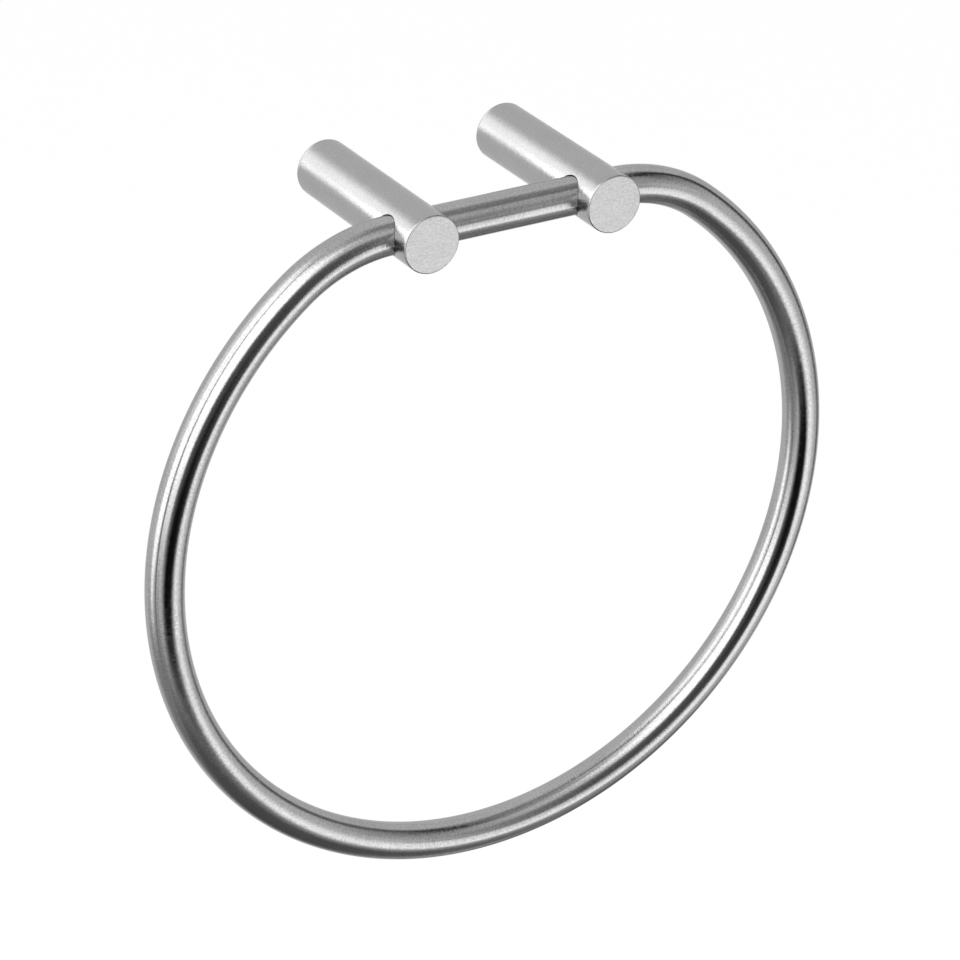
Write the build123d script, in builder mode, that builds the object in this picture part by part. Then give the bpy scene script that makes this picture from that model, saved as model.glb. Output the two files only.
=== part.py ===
# Towel ring for a wall: one steel rod bent into a ring with a straight top bar, carried by the
# cross holes of two turned posts. Each post slips over a spigot that is screwed to the wall.
#
# Millimetres. The wall is the plane Y = 0 and the posts point away from it along -Y, +Z is up,
# +X runs along the bar, and the origin lies on the wall midway between the post axes.

import os
from math import atan2, degrees

from build123d import *

# Rod and ring
rod_diameter = 10.0
ring_outer_diameter = 200.0  # across the round part
bar_drop = 11.0  # from the top of the full circle down to the straight bar, on the rod's axis
bend_inset = 2.0  # the bends start this far inside the outer sides of the posts

# Posts
post_diameter = 15.4
post_length = 54.5
post_spacing = 52.5  # between the two axes, also the distance between the wall screws
rod_to_front = 10.0  # from the rod's axis to the posts' front faces
front_edge_break = 0.35
rear_edge_break = 0.5
cross_hole_break = 0.2
rod_clearance = 0.15  # around the rod in the cross hole
rod_offset = 0.05  # the rod lies this much low and forward in that clearance

# Wall spigots
spigot_diameter = 10.0
spigot_length = 16.0
spigot_clearance = 0.1  # around the spigot in its socket
spigot_edge_break = 0.4
wall_screw_hole = 4.5
wall_screw_head = 8.4  # mouth of the countersink
wall_screw_head_angle = 90.0
wall_screw_head_room = 4.0  # from the spigot's end to the bottom of the socket
groove_from_wall = 8.0
groove_depth = 1.2
groove_floor_width = 1.2

# Grub screws
screw_clearance = 0.05  # around each screw in its tapped hole
screw_tip_gap = 0.1
lock_screw_diameter = 4.0
lock_screw_tip_diameter = 1.0
lock_screw_recess = 0.4  # below the post's skin
lock_screw_key = 2.0  # across the flats of the hexagon socket
lock_screw_key_depth = 1.5
ring_screw_diameter = 6.0
ring_screw_length = 8.0
ring_screw_tip_break = 0.8
ring_screw_key = 3.0
ring_screw_key_depth = 3.0

# The rod's axis: half of the bar, one bend, then the round part, each tangent to the next
ring_radius = (ring_outer_diameter - rod_diameter) / 2
bar_half_length = (post_spacing + post_diameter) / 2 - bend_inset
bend_radius = ring_radius - (bar_half_length**2 + bar_drop**2) / (2 * bar_drop)
bend_centre_rise = ring_radius - bar_drop - bend_radius  # above the ring's centre
bend_end_angle = degrees(atan2(bend_centre_rise, bar_half_length))

# Where the pieces meet
rod_from_wall = post_length - rod_to_front
cross_hole_radius = rod_diameter / 2 + rod_clearance
socket_radius = spigot_diameter / 2 + spigot_clearance
socket_depth = spigot_length + wall_screw_head_room
groove_floor_radius = spigot_diameter / 2 - groove_depth
ring_plane = Plane.XZ.offset(rod_from_wall + rod_offset)
bar_height = -rod_offset
ring_centre_height = bar_height - (ring_radius - bar_drop)
sides = {"left": -1, "right": 1}


def post_plane(side, from_wall):
    # Square to a post's axis, local X and Y along the bar and up, facing away from the wall
    return Plane(origin=(side * post_spacing / 2, -from_wall, 0), x_dir=(1, 0, 0), z_dir=(0, -1, 0))


def lock_plane(side, radius):
    # Square to a lock screw's axis at this radius below the post's axis, facing down
    centre = (side * post_spacing / 2, -groove_from_wall, -radius)
    return Plane(origin=centre, x_dir=(1, 0, 0), z_dir=(0, 0, -1))


def save(piece, name):
    piece.part.label = name
    export_step(piece.part, f"parts/{name}.step")


def make_ring():
    with BuildPart() as ring:
        with BuildLine(ring_plane) as half_axis:
            Line((0, bar_height), (bar_half_length, bar_height))
            CenterArc((bar_half_length, bar_height - bend_radius), bend_radius, 90, bend_end_angle - 90)
            CenterArc((0, ring_centre_height), ring_radius, bend_end_angle, -90 - bend_end_angle)
        with BuildSketch(Plane(origin=half_axis.line @ 0, z_dir=half_axis.line % 0)):
            Circle(rod_diameter / 2)
        sweep()
        mirror(about=Plane.YZ)
    return ring


def make_post(side):
    with BuildPart() as post:
        with BuildSketch(post_plane(side, 0)):
            Circle(post_diameter / 2)
        extrude(amount=post_length)
        front, rear = post.faces().filter_by(Axis.Y).sort_by(Axis.Y)
        chamfer(front.edges(), front_edge_break)
        chamfer(rear.edges(), rear_edge_break)
        # Cross hole for the rod, with both mouths broken
        with Locations(Plane(post_plane(side, rod_from_wall).origin, x_dir=(0, 1, 0), z_dir=(1, 0, 0))):
            Hole(cross_hole_radius)
        chamfer(post.edges(Select.LAST).filter_by(GeomType.LINE, reverse=True), cross_hole_break)
        # Socket for the spigot, and from there a tapped hole on to the rod
        with Locations(-post_plane(side, 0)):
            Hole(socket_radius, socket_depth)
            Hole(ring_screw_diameter / 2 + screw_clearance, rod_from_wall)
        with Locations(lock_plane(side, post_diameter / 2)):
            Hole(lock_screw_diameter / 2 + screw_clearance, post_diameter / 2)
    return post


def make_spigot(side):
    with BuildPart() as spigot:
        with BuildSketch(post_plane(side, 0)):
            Circle(spigot_diameter / 2)
        extrude(amount=spigot_length)
        chamfer(spigot.faces().filter_by(Axis.Y).edges(), spigot_edge_break)
        with Locations(post_plane(side, spigot_length)):
            CounterSinkHole(wall_screw_hole / 2, wall_screw_head / 2, None, wall_screw_head_angle)
        # V groove that the lock screw's point draws in
        axis = post_plane(side, groove_from_wall)
        section = Plane(axis.origin, x_dir=(0, 0, 1), z_dir=(1, 0, 0))
        floor = groove_floor_width / 2
        with BuildSketch(section):
            with BuildLine():
                Polyline(
                    (groove_floor_radius, floor),
                    (groove_floor_radius, -floor),
                    (spigot_diameter / 2, -floor - groove_depth),
                    (spigot_diameter / 2, floor + groove_depth),
                    close=True,
                )
            make_face()
        revolve(axis=Axis(axis.origin, axis.z_dir), mode=Mode.SUBTRACT)
    return spigot


def make_lock_screw(side):
    tip_radius = groove_floor_radius + screw_tip_gap
    head_radius = post_diameter / 2 - lock_screw_recess
    with BuildPart() as screw:
        with BuildSketch(lock_plane(side, tip_radius)):
            Circle(lock_screw_diameter / 2)
        extrude(amount=head_radius - tip_radius)
        tip = screw.faces().sort_by(Axis.Z)[-1]
        chamfer(tip.edges(), (lock_screw_diameter - lock_screw_tip_diameter) / 2)
        with BuildSketch(lock_plane(side, head_radius)):
            RegularPolygon(lock_screw_key / 2, 6, major_radius=False)
        extrude(amount=-lock_screw_key_depth, mode=Mode.SUBTRACT)
    return screw


def make_ring_screw(side):
    tip_from_wall = rod_from_wall + rod_offset - rod_diameter / 2 - screw_tip_gap
    head_from_wall = tip_from_wall - ring_screw_length
    with BuildPart() as screw:
        with BuildSketch(post_plane(side, head_from_wall)):
            Circle(ring_screw_diameter / 2)
        extrude(amount=ring_screw_length)
        tip = screw.faces().sort_by(Axis.Y)[0]
        chamfer(tip.edges(), ring_screw_tip_break)
        with BuildSketch(post_plane(side, head_from_wall)):
            RegularPolygon(ring_screw_key / 2, 6, major_radius=False)
        extrude(amount=ring_screw_key_depth, mode=Mode.SUBTRACT)
    return screw


os.makedirs("parts", exist_ok=True)
save(make_ring(), "ring")
for side_name, side in sides.items():
    save(make_post(side), f"{side_name}_post")
    save(make_spigot(side), f"{side_name}_wall_spigot")
    save(make_lock_screw(side), f"{side_name}_lock_screw")
    save(make_ring_screw(side), f"{side_name}_ring_screw")
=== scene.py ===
from math import atan2, cos, hypot, pi, radians, sin, tan
import bpy
from mathutils import Matrix, Vector


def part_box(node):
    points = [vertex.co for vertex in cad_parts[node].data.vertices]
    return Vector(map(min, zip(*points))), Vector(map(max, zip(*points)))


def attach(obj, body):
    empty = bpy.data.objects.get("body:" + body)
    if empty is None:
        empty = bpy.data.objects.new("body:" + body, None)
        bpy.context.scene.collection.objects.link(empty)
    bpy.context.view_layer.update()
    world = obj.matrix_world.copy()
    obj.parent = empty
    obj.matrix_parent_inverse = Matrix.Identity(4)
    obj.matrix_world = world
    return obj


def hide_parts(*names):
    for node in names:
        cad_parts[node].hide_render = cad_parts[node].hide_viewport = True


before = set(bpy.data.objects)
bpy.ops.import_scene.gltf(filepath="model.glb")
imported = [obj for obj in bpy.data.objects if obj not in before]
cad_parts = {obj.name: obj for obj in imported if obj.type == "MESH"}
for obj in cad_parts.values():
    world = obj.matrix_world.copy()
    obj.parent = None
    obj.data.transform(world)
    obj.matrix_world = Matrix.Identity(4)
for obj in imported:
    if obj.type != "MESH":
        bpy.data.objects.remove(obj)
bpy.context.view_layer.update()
print("frame loaded:", sorted(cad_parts))


# shader maths: a socket that can be added, multiplied and so on

class Wire:
    def __init__(self, tree, socket=None):
        self.tree = tree
        self.socket = socket

    def node(self, kind, settings, values, out=0):
        made = self.tree.nodes.new(kind)
        for name, value in settings.items():
            setattr(made, name, value)
        for name, value in values.items():
            if isinstance(value, Wire):
                self.tree.links.new(value.socket, made.inputs[name])
            else:
                made.inputs[name].default_value = value
        return Wire(self.tree, made.outputs[out] if made.outputs else None)

    def math(self, operation, *values):
        return self.node("ShaderNodeMath", {"operation": operation}, dict(enumerate(values)))

    def __add__(self, other):
        return self.math("ADD", self, other)

    def __radd__(self, other):
        return self.math("ADD", other, self)

    def __sub__(self, other):
        return self.math("SUBTRACT", self, other)

    def __rsub__(self, other):
        return self.math("SUBTRACT", other, self)

    def __mul__(self, other):
        return self.math("MULTIPLY", self, other)

    def __rmul__(self, other):
        return self.math("MULTIPLY", other, self)


def newMaterial(name):
    material = bpy.data.materials.new(name)
    material.use_nodes = True
    material.node_tree.nodes.clear()
    return material, Wire(material.node_tree)


def split(wire, vector):  # the three numbers of a vector
    parts = wire.node("ShaderNodeSeparateXYZ", {}, {"Vector": vector})
    outputs = parts.socket.node.outputs
    return [Wire(wire.tree, output) for output in outputs]


noiseMean = 0.5


def noise(wire, x, y, z=0.0, detail=2.0):
    place = wire.node("ShaderNodeCombineXYZ", {}, {"X": x, "Y": y, "Z": z})
    values = {"Vector": place, "Scale": 1.0, "Detail": detail}
    return wire.node("ShaderNodeTexNoise", {"noise_dimensions": "3D"}, values, "Fac")


def vary(middle, spread, pattern):  # a value that goes up and down with a noise pattern
    return middle + (pattern - noiseMean) * spread


def grey(wire, value):  # a number as a neutral colour
    return wire.node("ShaderNodeCombineColor", {}, {"Red": value, "Green": value, "Blue": value})


# steel, brushed in fine lines

rimTone = 0.75  # the rim darkens where it turns away
hatchLayer = 3.0  # patterns lie in different layers of the noise
grainLayer = 9.0


def steelSurface(wire, tone, roughness, height):  # height in metres
    bump = wire.node("ShaderNodeBump", {}, {"Strength": 1.0, "Distance": 1.0, "Height": height})
    values = {
        "Base Color": grey(wire, tone),
        "Metallic": 1.0,
        "Roughness": roughness,
        "Specular Tint": (rimTone, rimTone, rimTone, 1),
        "Normal": bump,
    }
    shader = wire.node("ShaderNodeBsdfPrincipled", {}, values)
    wire.node("ShaderNodeOutputMaterial", {}, {"Surface": shader})


def brushedSurface(wire, finish, brush, hatch, patches, grain):
    tone = vary(finish["tone"], finish["toneSpread"], hatch)
    tone = vary(tone, finish["toneSpread"], patches)
    tone = vary(tone, finish["grainSpread"], grain)
    roughness = vary(finish["roughness"], finish["roughnessSpread"], hatch)
    height = brush * finish["brushDepth"] + hatch * finish["hatchDepth"]
    steelSurface(wire, tone, roughness, height)


ringFinish = {
    "tone": 0.37,
    "toneSpread": 0.1,
    "roughness": 0.07,
    "roughnessSpread": 0.05,
    "brushLines": 24000.0,  # to the metre, too fine to see: they draw each reflection out along the rod
    "brushReach": 0.001,  # how far a line runs round the rod
    "brushDepth": 0.00001,
    "hatchLines": 2600.0,  # coarser lines that show
    "hatchReach": 0.004,
    "hatchDepth": 0.000008,
    "lean": 0.0,  # how much the coarser lines climb as they go round
    "patches": (60.0, 40.0),  # to the metre, along and round the rod
    "patchLayer": 7.0,
    "grain": 1800.0,  # specks to the metre
    "grainSpread": 0.22,
}

postFinish = {
    "tone": 0.37,
    "toneSpread": 0.06,
    "roughness": 0.1,
    "roughnessSpread": 0.06,
    "brushLines": 24000.0,
    "brushReach": 0.0008,
    "brushDepth": 0.000013,
    "hatchLines": 2600.0,
    "hatchReach": 0.004,
    "hatchDepth": 0.000004,
    "lean": 0.35,
    "patches": (90.0, 90.0),
    "patchLayer": 3.0,
    "grain": 2000.0,
    "grainSpread": 0.12,
}


def makeRoundSteel(name, uvName, finish):  # for the rod and the sides of the posts
    material, wire = newMaterial(name)
    along, around = split(wire, wire.node("ShaderNodeUVMap", {"uv_map": uvName}, {}))[:2]
    brushTurn = around * (1 / finish["brushReach"])
    hatchTurn = around * (1 / finish["hatchReach"])
    slant = along + around * finish["lean"]
    patchAlong, patchAround = finish["patches"]
    brush = noise(wire, along * finish["brushLines"], brushTurn, detail=0.0)
    hatch = noise(wire, slant * finish["hatchLines"], hatchTurn, hatchLayer, detail=1.0)
    patches = noise(wire, along * patchAlong, around * patchAround, finish["patchLayer"])
    grain = noise(wire, along * finish["grain"], around * finish["grain"], grainLayer, detail=1.0)
    brushedSurface(wire, finish, brush, hatch, patches, grain)
    return material


faceFinish = {
    "tone": 0.32,
    "toneSpread": 0.07,
    "roughness": 0.22,
    "roughnessSpread": 0.06,
    "brushLines": 9000.0,  # straight lines across the flat ends
    "brushReach": 0.004,
    "brushDepth": 0.000008,
    "hatchLines": 2400.0,
    "hatchDepth": 0.000004,
    "patches": (200.0, 500.0),  # to the metre, across and up
    "patchLayer": 5.0,
    "grain": 2200.0,
    "grainSquash": 0.6,  # fewer specks across, so that each is drawn out along the lines
    "grainSpread": 0.18,
}


def makeFaceSteel():
    material, wire = newMaterial("faceSteel")
    across, up = split(wire, wire.node("ShaderNodeTexCoord", {}, {}, "Object"))[::2]
    run = across * (1 / faceFinish["brushReach"])
    grainRun = across * (faceFinish["grainSquash"] * faceFinish["grain"])
    patchAcross, patchUp = faceFinish["patches"]
    brush = noise(wire, run, up * faceFinish["brushLines"], detail=0.0)
    hatch = noise(wire, run, up * faceFinish["hatchLines"], hatchLayer, detail=1.0)
    patches = noise(wire, across * patchAcross, up * patchUp, faceFinish["patchLayer"])
    grain = noise(wire, grainRun, up * faceFinish["grain"], grainLayer, detail=1.0)
    brushedSurface(wire, faceFinish, brush, hatch, patches, grain)
    return material


fixingFinish = {
    "tone": 0.34,
    "toneSpread": 0.1,
    "roughness": 0.28,
    "roughnessSpread": 0.1,
    "turnLines": 3000.0,  # to the metre along the post
    "turnBreaks": 300.0,  # to the metre, where a line fades into the next
    "turnDepth": 0.000006,
}


def makeFixingSteel():
    material, wire = newMaterial("fixingSteel")
    across, deep, up = split(wire, wire.node("ShaderNodeTexCoord", {}, {}, "Object"))
    breaks = fixingFinish["turnBreaks"]
    lines = noise(wire, across * breaks, deep * fixingFinish["turnLines"], up * breaks)
    tone = vary(fixingFinish["tone"], fixingFinish["toneSpread"], lines)
    roughness = vary(fixingFinish["roughness"], fixingFinish["roughnessSpread"], lines)
    steelSurface(wire, tone, roughness, lines * fixingFinish["turnDepth"])
    return material


ringSteel = makeRoundSteel("ringSteel", "rod", ringFinish)
postSteel = makeRoundSteel("postSteel", "post", postFinish)
faceSteel = makeFaceSteel()
fixingSteel = makeFixingSteel()
print("finishes made")


# modelling steps that the ring and the posts share

alongX = (0, pi / 2, 0)  # turns a circle or cylinder, which starts out round Z
alongY = (pi / 2, 0, 0)
alongZ = (0, 0, 0)
mergeGap = 0.000002
samePlace = 0.00001


def selectNone():
    bpy.ops.object.select_all(action="DESELECT")


def finishMesh(piece, smoothAngle=None):
    bpy.ops.mesh.select_all(action="SELECT")
    bpy.ops.mesh.remove_doubles(threshold=mergeGap)
    bpy.ops.mesh.normals_make_consistent(inside=False)
    bpy.ops.object.mode_set(mode="OBJECT")
    if smoothAngle is None:
        bpy.ops.object.shade_smooth()
    else:
        bpy.ops.object.shade_smooth_by_angle(angle=smoothAngle)


# the ring: one rod, its section drawn round the bar, the bends and the round part

ringLow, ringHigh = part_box("ring")
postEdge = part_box("right_post")[1].x  # outer side of the posts

ring = {
    "sides": 96,
    "barSteps": 24,
    "bendSteps": 24,
    "roundSteps": 260,
    "bendInset": 0.002,  # the bends start this far inside the outer sides of the posts
}
rodRadius = (ringHigh.y - ringLow.y) / 2
ringY = (ringHigh.y + ringLow.y) / 2
ringRadius = (ringHigh.x - ringLow.x) / 2 - rodRadius
ringCentreZ = ringLow.z + rodRadius + ringRadius
barZ = ringHigh.z - rodRadius
barHalf = postEdge - ring["bendInset"]
barDrop = ringCentreZ + ringRadius - barZ
bendRadius = ringRadius - (barHalf**2 + barDrop**2) / (2 * barDrop)
bendCentreZ = barZ - bendRadius
bendTurn = pi / 2 - atan2(bendCentreZ - ringCentreZ, barHalf)
roundTurn = 2 * pi - 2 * bendTurn
barLength = 2 * barHalf
bendLength = bendRadius * bendTurn
rodLength = barLength + 2 * bendLength + ringRadius * roundTurn


def rodPlace(x, z):  # length along the rod from the left end of the bar, and distance from its axis
    turn = atan2(x, z - ringCentreZ)
    if abs(x) <= barHalf and z > ringCentreZ:
        return x + barHalf, z - barZ
    if z > ringCentreZ and abs(turn) < bendTurn:
        bend = atan2(abs(x) - barHalf, z - bendCentreZ)
        out = hypot(abs(x) - barHalf, z - bendCentreZ) - bendRadius
        if x > 0:
            return barLength + bendRadius * bend, out
        return rodLength - bendRadius * bend, out
    out = hypot(x, z - ringCentreZ) - ringRadius
    return barLength + bendLength + ringRadius * (turn % (2 * pi) - bendTurn), out


def unrollRod(piece):
    girth = 2 * pi * rodRadius
    places = []
    for vertex in piece.data.vertices:
        along, out = rodPlace(vertex.co.x, vertex.co.z)
        places.append((along, rodRadius * atan2(out, ringY - vertex.co.y)))
    uvMap = piece.data.uv_layers.new(name="rod")
    for face in piece.data.polygons:
        first = places[face.vertices[0]]
        for loop in face.loop_indices:
            along, around = places[piece.data.loops[loop].vertex_index]
            along -= rodLength * round((along - first[0]) / rodLength)
            around -= girth * round((around - first[1]) / girth)
            uvMap.data[loop].uv = (along, around)


def makeRing():
    selectNone()
    bpy.ops.mesh.primitive_circle_add(
        vertices=ring["sides"],
        radius=rodRadius,
        location=(-barHalf, ringY, barZ),
        rotation=alongX,
    )
    piece = bpy.context.object
    piece.name = "towelRing"
    bpy.ops.object.transform_apply(location=True, rotation=True, scale=True)
    bpy.ops.object.mode_set(mode="EDIT")
    bpy.ops.mesh.select_all(action="SELECT")
    move = {"value": (barLength / ring["barSteps"], 0, 0)}
    for step in range(ring["barSteps"]):
        bpy.ops.mesh.extrude_region_move(TRANSFORM_OT_translate=move)
    turns = [
        (ring["bendSteps"], bendTurn, (barHalf, ringY, bendCentreZ)),
        (ring["roundSteps"], roundTurn, (0, ringY, ringCentreZ)),
        (ring["bendSteps"], bendTurn, (-barHalf, ringY, bendCentreZ)),
    ]
    for steps, angle, centre in turns:
        bpy.ops.mesh.spin(steps=steps, angle=angle, center=centre, axis=(0, -1, 0))
    finishMesh(piece)
    unrollRod(piece)
    piece.data.materials.append(ringSteel)
    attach(piece, "root")
    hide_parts("ring")
    return piece


towelRing = makeRing()
print("ring made:", len(towelRing.data.polygons), "faces")


# the posts

post = {
    "sides": 192,
    "loops": 40,  # cuts along the length, so that the faces beside the cross hole stay small
    "frontBreak": 0.00035,
    "rearBreak": 0.0005,
    "breakSteps": 3,
    "rim": 0.0001,  # flat ring inside each edge break, so that the end itself stays flat
    "rodToFront": 0.01,
    "rodClearance": 0.00015,
    "rodHoleSides": 160,
    "socketRadius": 0.0051,
    "socketDepth": 0.020,
    "boreRadius": 0.00305,  # from the socket on to the rod
    "boreSides": 96,
    "lockFromWall": 0.008,
    "lockRadius": 0.00205,
    "lockSides": 64,
    "smoothAngle": 30.0,
    "endNormal": 0.999,  # faces turned this squarely along the post have the finish of the ends
}


def addCutter(radius, depth, place, turn, sides):
    selectNone()
    bpy.ops.mesh.primitive_cylinder_add(
        vertices=sides, radius=radius, depth=depth, location=place, rotation=turn
    )
    return bpy.context.object


def cutAway(piece, cutter):
    selectNone()
    bpy.context.view_layer.objects.active = piece
    piece.select_set(True)
    tool = piece.modifiers.new("cut", "BOOLEAN")
    tool.operation = "DIFFERENCE"
    tool.solver = "EXACT"
    tool.object = cutter
    bpy.ops.object.modifier_apply(modifier=tool.name)
    bpy.data.objects.remove(cutter)


def selectEdges(piece, test):  # edges whose two ends pass the test, in edit mode
    bpy.ops.mesh.select_all(action="DESELECT")
    bpy.ops.object.mode_set(mode="OBJECT")
    vertices = piece.data.vertices
    for edge in piece.data.edges:
        edge.select = all(test(vertices[index].co) for index in edge.vertices)
    bpy.ops.object.mode_set(mode="EDIT")


def selectFaces(piece, test):
    bpy.ops.mesh.select_all(action="DESELECT")
    bpy.ops.object.mode_set(mode="OBJECT")
    for face in piece.data.polygons:
        face.select = test(face)
    bpy.ops.object.mode_set(mode="EDIT")


def breakEdge(piece, endY, width):
    bpy.ops.mesh.select_mode(type="EDGE")
    selectEdges(piece, lambda co: abs(co.y - endY) < samePlace)
    bpy.ops.mesh.bevel(offset=width, segments=post["breakSteps"], affect="EDGES")
    bpy.ops.mesh.select_mode(type="FACE")
    selectFaces(piece, lambda face: abs(face.center.y - endY) < samePlace)
    bpy.ops.mesh.inset(thickness=post["rim"], use_even_offset=True)


def drillPost(piece, low, high):
    radius = (high.x - low.x) / 2
    centreX = (high.x + low.x) / 2
    rodY = low.y + post["rodToFront"]
    rodHole = rodRadius + post["rodClearance"]
    boreDepth = high.y - rodY
    boreMiddle = (centreX, high.y - boreDepth / 2, 0)
    lockMouth = (centreX, high.y - post["lockFromWall"], -radius)
    holes = [
        (rodHole, 4 * radius, (centreX, rodY, 0), alongX, post["rodHoleSides"]),
        (post["socketRadius"], 2 * post["socketDepth"], (centreX, high.y, 0), alongY, post["boreSides"]),
        (post["boreRadius"], boreDepth, boreMiddle, alongY, post["boreSides"]),
        (post["lockRadius"], 2 * radius, lockMouth, alongZ, post["lockSides"]),
    ]
    for hole in holes:
        cutAway(piece, addCutter(*hole))


def unrollPost(piece, centreX, radius):
    uvMap = piece.data.uv_layers.new(name="post")
    girth = 2 * pi * radius
    for face in piece.data.polygons:
        middle = face.center
        start = radius * atan2(middle.z, middle.x - centreX)
        for loop in face.loop_indices:
            co = piece.data.vertices[piece.data.loops[loop].vertex_index].co
            around = radius * atan2(co.z, co.x - centreX)
            around -= girth * round((around - start) / girth)
            uvMap.data[loop].uv = (co.y, around)


def makePost(side, node):
    low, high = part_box(node)
    radius = (high.x - low.x) / 2
    length = high.y - low.y
    centreX = (high.x + low.x) / 2
    selectNone()
    bpy.ops.mesh.primitive_cylinder_add(
        vertices=post["sides"],
        radius=radius,
        depth=length,
        location=(centreX, (low.y + high.y) / 2, 0),
        rotation=alongY,
    )
    piece = bpy.context.object
    piece.name = side + "Post"
    bpy.ops.object.transform_apply(location=True, rotation=True, scale=True)
    bpy.ops.object.mode_set(mode="EDIT")
    breakEdge(piece, low.y, post["frontBreak"])
    breakEdge(piece, high.y, post["rearBreak"])
    for loop in range(1, post["loops"]):
        bpy.ops.mesh.select_all(action="SELECT")
        cutY = low.y + length * loop / post["loops"]
        bpy.ops.mesh.bisect(plane_co=(centreX, cutY, 0), plane_no=(0, 1, 0))
    bpy.ops.object.mode_set(mode="OBJECT")
    drillPost(piece, low, high)
    bpy.context.view_layer.objects.active = piece
    bpy.ops.object.mode_set(mode="EDIT")
    finishMesh(piece, radians(post["smoothAngle"]))
    unrollPost(piece, centreX, radius)
    piece.data.materials.append(postSteel)
    piece.data.materials.append(faceSteel)
    for face in piece.data.polygons:
        face.material_index = 1 if abs(face.normal.y) > post["endNormal"] else 0
    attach(piece, "root")
    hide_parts(node)
    return piece


leftPost = makePost("left", "left_post")
rightPost = makePost("right", "right_post")
print("posts made:", len(leftPost.data.polygons), "faces each")


# the fixings inside the posts keep their solids

for name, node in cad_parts.items():
    if name.endswith(("spigot", "screw")):
        node.data.materials.clear()
        node.data.materials.append(fixingSteel)
print("fixings dressed")


# floor and studio

studioCentre = Vector((0, ringY, (ringHigh.z + ringLow.z) / 2))
white = (1, 1, 1, 1)

floor = {
    "height": -1.4,  # about as far below the holder as a washroom floor
    "size": 60.0,
    "tone": 0.85,
    "glow": 1.04,
    "glowShare": 0.9,  # where it is seen: the rest still takes the shadow
}

world = {
    "seen": 1.0,  # white for the camera and in reflections
    "ambient": 0.6,
}


def whiteWhereSeen(wire):  # 1 for camera, glossy and transmission rays
    path = wire.node("ShaderNodeLightPath", {}, {})
    outputs = path.socket.node.outputs
    names = ("Is Camera Ray", "Is Glossy Ray", "Is Transmission Ray")
    camera, glossy, transmission = [Wire(wire.tree, outputs[name]) for name in names]
    return camera.math("MAXIMUM", camera.math("MAXIMUM", camera, glossy), transmission)


def makeWorld():
    sky = bpy.data.worlds.new("studio")
    sky.use_nodes = True
    sky.node_tree.nodes.clear()
    wire = Wire(sky.node_tree)
    seen = whiteWhereSeen(wire)
    strength = world["ambient"] + (world["seen"] - world["ambient"]) * seen
    shade = wire.node("ShaderNodeBackground", {}, {"Color": white, "Strength": strength})
    wire.node("ShaderNodeOutputWorld", {}, {"Surface": shade})
    bpy.context.scene.world = sky


def makeFloor():
    selectNone()
    bpy.ops.mesh.primitive_plane_add(size=floor["size"], location=(0, 0, floor["height"]))
    piece = bpy.context.object
    piece.name = "floor"
    material, wire = newMaterial("floorPale")
    tone = floor["tone"]
    matt = wire.node("ShaderNodeBsdfDiffuse", {}, {"Color": (tone, tone, tone, 1)})
    glow = wire.node("ShaderNodeEmission", {}, {"Color": white, "Strength": floor["glow"]})
    share = whiteWhereSeen(wire) * floor["glowShare"]
    both = wire.node("ShaderNodeMixShader", {}, {0: share, 1: matt, 2: glow})
    wire.node("ShaderNodeOutputMaterial", {}, {"Surface": both})
    piece.data.materials.append(material)


def outward(bearing, rise):  # direction from the holder, with bearings to the right of straight ahead
    return Vector((sin(bearing) * cos(rise), -cos(bearing) * cos(rise), sin(rise)))


def levelRight(bearing):
    return Vector((cos(bearing), sin(bearing), 0))


def seenSize(item):  # width and height in metres of what takes up these angles at its reach
    return [2 * item["reach"] * tan(radians(angle) / 2) for angle in item["size"]]


def standAt(place, right, up, back):
    turn = Matrix((right, up, back)).transposed().to_4x4()
    return Matrix.Translation(place) @ turn


# soft boxes and cards round the holder, which show only in reflections

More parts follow.
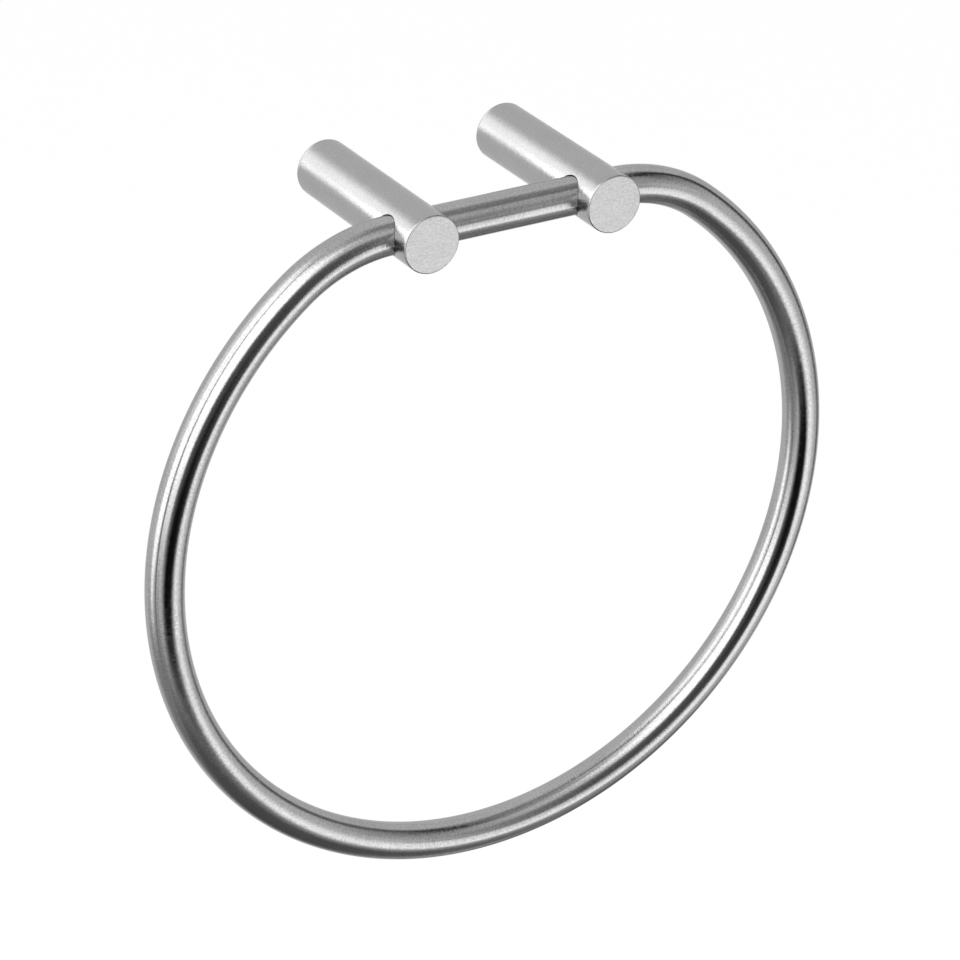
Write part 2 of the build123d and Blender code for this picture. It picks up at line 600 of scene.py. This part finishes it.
cards = {
    "leftGlow": {"aim": (-122, 24), "size": (60, 76), "glow": (1.5, 1.9), "soft": 0.9, "reach": 2.45},
    "leftBox": {"aim": (-104, 25), "size": (47, 88), "glow": (2.75, 2.6), "soft": 0.3, "reach": 2.4},
    "frontBox": {"aim": (-49, 29), "size": (60, 76), "glow": (2.9, 2.8), "soft": 0.17, "reach": 2.35},
    "boxGap": {"aim": (-80.5, 8), "size": (5.2, 130), "glow": (0.0, 0.1), "soft": 0.2, "reach": 1.5},
    "leftTrim": {"aim": (-121, -10), "size": (20, 44), "glow": (1.1, 1.15), "soft": 0.5, "reach": 2.1},
    "leftLow": {"aim": (-102.5, -15), "size": (20, 40), "glow": (2.1, 2.9), "soft": 0.35, "reach": 2.0},
    "frontLow": {"aim": (-62, -9), "size": (32, 28), "glow": (1.0, 2.4), "soft": 0.6, "reach": 2.27},
    "topGrey": {"aim": (70, 72), "size": (44, 34), "glow": (0.3, 0.5), "soft": 0.8, "reach": 2.25},
    "rightGrey": {"aim": (31, 28), "size": (98, 37), "glow": (0.55, 1.0), "soft": 0.55, "reach": 2.2},
    "frontHigh": {"aim": (12, 24), "size": (38, 36), "glow": (0.08, 0.42), "soft": 0.6, "reach": 2.15},
    "backGrey": {"aim": (116, 15), "size": (52, 76), "glow": (0.9, 0.9), "soft": 0.6, "reach": 2.12},
    "rightShade": {"aim": (64, 32), "size": (46, 32), "glow": (0.45, 0.3), "soft": 0.9, "reach": 2.1},
    "upperDark": {"aim": (72, 47), "size": (40, 30), "glow": (0.03, 0.05), "soft": 0.65, "reach": 2.05},
    "frontShade": {"aim": (-8, -7), "size": (93, 88), "glow": (0.2, 0.13), "soft": 0.5, "reach": 2.0},
    "frontDark": {"aim": (-14, -27), "size": (54, 60), "glow": (0.005, 0.005), "soft": 0.5, "reach": 1.9},
    "coreDark": {"aim": (-10, -13), "size": (34, 46), "glow": (0.015, 0.015), "soft": 0.8, "reach": 1.85},
    "rightLine": {"aim": (89, -6), "size": (20, 104), "glow": (0.2, 0.03), "soft": 0.4, "reach": 1.8},
    "lowGrey": {"aim": (-97, -64), "size": (88, 96), "glow": (0.95, 0.05), "soft": 0.88, "reach": 1.4},
    "lowDark": {"aim": (-7, -70), "size": (100, 80), "glow": (0.24, 0.1), "soft": 0.73, "reach": 1.2},
    "underDark": {"aim": (-120, -84), "size": (68, 68), "glow": (0.15, 0.15), "soft": 0.8, "reach": 1.1},
    "sideDark": {"aim": (108, -54), "size": (58, 28), "glow": (0.3, 0.25), "soft": 0.6, "reach": 1.15},
    "bounceWing": {"aim": (45, -21), "size": (40, 44), "glow": (1.5, 1.4), "soft": 0.8, "reach": 1.05},
    "bounce": {"aim": (32, -19.5), "size": (36, 43), "glow": (2.45, 1.6), "soft": 0.6, "reach": 1.0},
}
roundCards = ("frontShade", "frontDark", "coreDark", "lowDark", "underDark")
brightGlow = 1.0  # cards above this light the floor too


def cardShade(name, card):  # soft is the share of the card over which its edge fades out
    material, wire = newMaterial(name + "Light")
    across, up = split(wire, wire.node("ShaderNodeUVMap", {"uv_map": "UVMap"}, {}))[:2]
    fromMiddleX = wire.math("ABSOLUTE", across * 2.0 - 1.0)
    fromMiddleY = wire.math("ABSOLUTE", up * 2.0 - 1.0)
    if name in roundCards:
        edge = wire.math("SQRT", fromMiddleX * fromMiddleX + fromMiddleY * fromMiddleY)
    else:
        edge = wire.math("MAXIMUM", fromMiddleX, fromMiddleY)
    fade = {"Value": edge, "From Min": 1 - card["soft"], "From Max": 1.0, "To Min": 1.0, "To Max": 0.0}
    cover = wire.node("ShaderNodeMapRange", {"interpolation_type": "SMOOTHSTEP"}, fade)
    footGlow, topGlow = card["glow"]
    strength = footGlow + (topGlow - footGlow) * up
    glow = wire.node("ShaderNodeEmission", {}, {"Color": white, "Strength": strength})
    clear = wire.node("ShaderNodeBsdfTransparent", {}, {})
    both = wire.node("ShaderNodeMixShader", {}, {0: cover, 1: clear, 2: glow})
    wire.node("ShaderNodeOutputMaterial", {}, {"Surface": both})
    return material


def makeCard(name, card):
    bearing, rise = [radians(angle) for angle in card["aim"]]
    width, height = seenSize(card)
    out = outward(bearing, rise)
    selectNone()
    bpy.ops.mesh.primitive_plane_add(size=1)
    piece = bpy.context.object
    piece.name = name
    piece.scale = (width, height, 1)
    piece.rotation_mode = "QUATERNION"
    piece.rotation_quaternion = (-out).to_track_quat("Z", "Y")
    piece.location = studioCentre + out * card["reach"]
    piece.data.materials.append(cardShade(name, card))
    piece.visible_camera = False
    piece.visible_diffuse = max(card["glow"]) > brightGlow


# lamps that each light one post alone

lamps = {
    "Light": {"aim": (-150, 18.5), "size": (79, 32), "tilt": 16, "glow": 1.1, "reach": 1.5},  # broad
    "Line": {"aim": (-153, -2), "size": (53, 3), "tilt": 40, "glow": 1.9, "reach": 1.5},  # thin
    "Streak": {"aim": (-109, 5), "size": (21, 40), "tilt": 49, "glow": 3.6, "reach": 0.06},  # close by
    "Front": {"aim": (-20, -8), "size": (84, 76), "tilt": 0, "glow": 0.75, "reach": 1.5},  # for the end
}


def makeLamp(name, lamp, lit):
    bearing, rise, tilt = [radians(angle) for angle in (*lamp["aim"], lamp["tilt"])]
    width, height = seenSize(lamp)
    out = outward(bearing, rise)
    level = levelRight(bearing)
    across = level * cos(tilt) + level.cross(out) * -sin(tilt)
    light = bpy.data.lights.new(name, "AREA")
    light.shape = "RECTANGLE"
    light.size = width
    light.size_y = height
    light.energy = lamp["glow"] * pi * width * height  # watts for this glow
    piece = bpy.data.objects.new(name, light)
    bpy.context.scene.collection.objects.link(piece)
    low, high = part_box(lit.name.replace("Post", "_post"))
    place = (low + high) / 2 + out * lamp["reach"]
    piece.matrix_world = standAt(place, across, out.cross(across), out)
    piece.visible_camera = False
    alone = bpy.data.collections.new(name + "Lit")
    alone.objects.link(lit)
    piece.light_linking.receiver_collection = alone
    piece.light_linking.blocker_collection = alone


for lit in (leftPost, rightPost):
    for name, lamp in lamps.items():
        makeLamp(lit.name + name, lamp, lit)
makeWorld()
makeFloor()
for name, card in cards.items():
    makeCard(name, card)
print("studio made:", len(cards), "cards")


# camera at the photograph's place

photoView = {
    "bearing": -31.553,  # degrees round from straight ahead
    "rise": 27.144,
    "roll": 1.445,
    "place": (-0.50325, -0.85617, 0.41448),
    "lens": 157.5,
    "sensor": 36.0,
}


def makeCamera():
    bearing, rise, roll = [radians(photoView[name]) for name in ("bearing", "rise", "roll")]
    back = outward(bearing, rise)
    right = levelRight(bearing)
    up = back.cross(right)
    turnedRight = right * cos(roll) + up * sin(roll)
    turnedUp = up * cos(roll) - right * sin(roll)
    lens = bpy.data.cameras.new("photoCamera")
    lens.lens = photoView["lens"]
    lens.sensor_width = photoView["sensor"]
    camera = bpy.data.objects.new("photoCamera", lens)
    bpy.context.scene.collection.objects.link(camera)
    camera.matrix_world = standAt(photoView["place"], turnedRight, turnedUp, back)
    bpy.context.scene.camera = camera


makeCamera()
bpy.context.scene.view_settings.view_transform = "Standard"
print("camera set")
